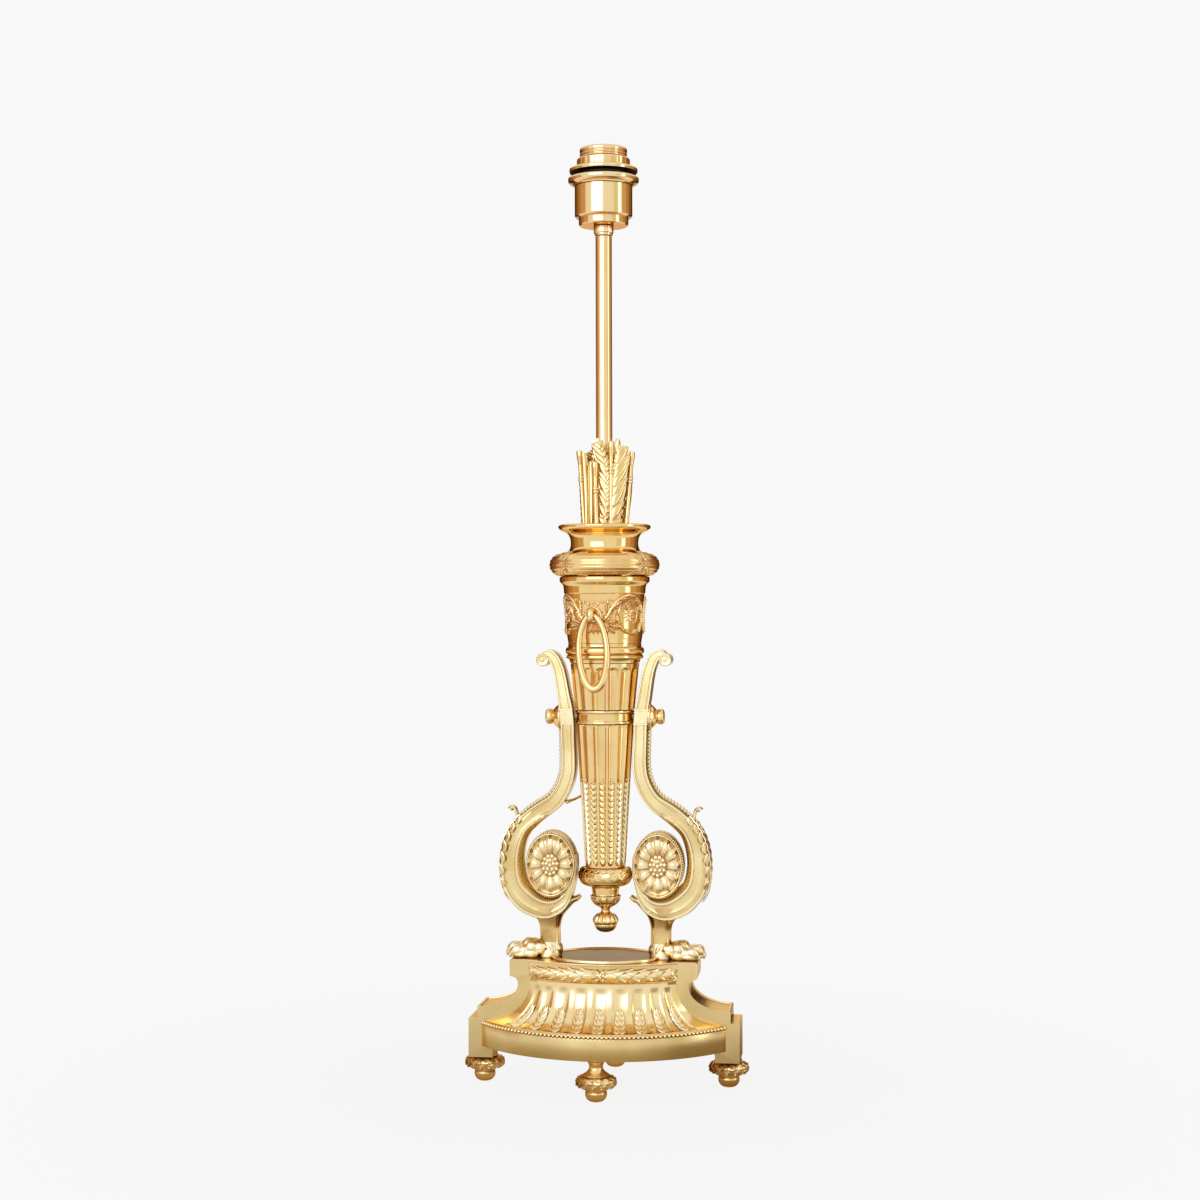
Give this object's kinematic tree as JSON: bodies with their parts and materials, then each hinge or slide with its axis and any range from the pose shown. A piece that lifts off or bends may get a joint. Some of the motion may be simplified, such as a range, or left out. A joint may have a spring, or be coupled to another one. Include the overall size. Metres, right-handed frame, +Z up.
{
  "type": "table lamp",
  "caption": "Gilt metal table lamp: a fluted quiver of arrows held between scroll legs on a stepped bowed base, with rod, shade rings and screw lampholder.",
  "frame": {"origin": "on the floor under the lamp's axis, at the middle of the four feet", "axes": "+Z up along the rod, +X to the lamp's right through the legs, +Y to its rear"},
  "size_m": [0.2416, 0.163, 0.786],
  "materials": {
    "polished_gilt": "polished gilt",
    "satin_gilt": "satin gilt",
    "lacquered_brass": "lacquered, lightly brushed",
    "dark_plate": "polished dark gilt",
    "steel": "plain",
    "porcelain": "glazed white, opaque"
  },
  "bodies": {
    "lamp": {"arrow_bundle": "polished_gilt", "base_slab": "satin_gilt", "cable_outlet_bush": "lacquered_brass", "centre_contact": "lacquered_brass", "ceramic_insert": "porcelain", "collar_moulding": "polished_gilt", "finial_ball": "polished_gilt", "finial_cup": "polished_gilt", "foot_front": "polished_gilt", "foot_left": "polished_gilt", "foot_rear": "polished_gilt", "foot_right": "polished_gilt", "frieze_drum": "polished_gilt", "front_bead_string": "polished_gilt", "front_bow": "polished_gilt", "front_laurel_band": "polished_gilt", "holder_collar": "lacquered_brass", "holder_cup": "lacquered_brass", "holder_skirt": "lacquered_brass", "left_acanthus_leaf": "polished_gilt", "left_leg": "satin_gilt", "left_paw": "polished_gilt", "left_paw_nut": "lacquered_brass", "left_paw_stud": "steel", "left_pivot_bolt": "steel", "left_pivot_knob": "polished_gilt", "left_rosette": "polished_gilt", "lower_fluted_drum": "polished_gilt", "lower_torus": "polished_gilt", "pivot_band": "polished_gilt", "quiver_rim": "polished_gilt", "rear_bead_string": "polished_gilt", "rear_bow": "polished_gilt", "rear_laurel_band": "polished_gilt", "reeded_torus": "polished_gilt", "right_acanthus_leaf": "polished_gilt", "right_leg": "satin_gilt", "right_paw": "polished_gilt", "right_paw_nut": "lacquered_brass", "right_paw_stud": "steel", "right_pivot_bolt": "steel", "right_pivot_knob": "polished_gilt", "right_rosette": "polished_gilt", "ring_staple": "polished_gilt", "rod_sleeve": "lacquered_brass", "screw_shell": "lacquered_brass", "stay_rod": "polished_gilt", "terminal_screw_left": "steel", "terminal_screw_right": "steel", "tie_nut": "steel", "tie_tube": "steel", "top_plate": "dark_plate", "upper_fluted_drum": "polished_gilt"},
    "ring": {"ring_handle": "polished_gilt"},
    "upper_ring": {"shade_ring_upper": "lacquered_brass"},
    "lower_ring": {"shade_ring_lower": "lacquered_brass"}
  },
  "joints": [
    {"name": "ring_swing", "type": "hinge", "parent": "lamp", "child": "ring", "pos_m": [-0.00628, -0.03755, 0.393], "axis": [-0.9863, 0.165, 0], "range_deg": [-5, 110]},
    {"name": "upper_ring_turn", "type": "hinge", "parent": "lamp", "child": "upper_ring", "pos_m": [0, 0, 0.7711], "axis": [0, 0, 1], "continuous": true},
    {"name": "lower_ring_turn", "type": "hinge", "parent": "lamp", "child": "lower_ring", "pos_m": [0, 0, 0.75815], "axis": [0, 0, 1], "continuous": true}
  ]
}
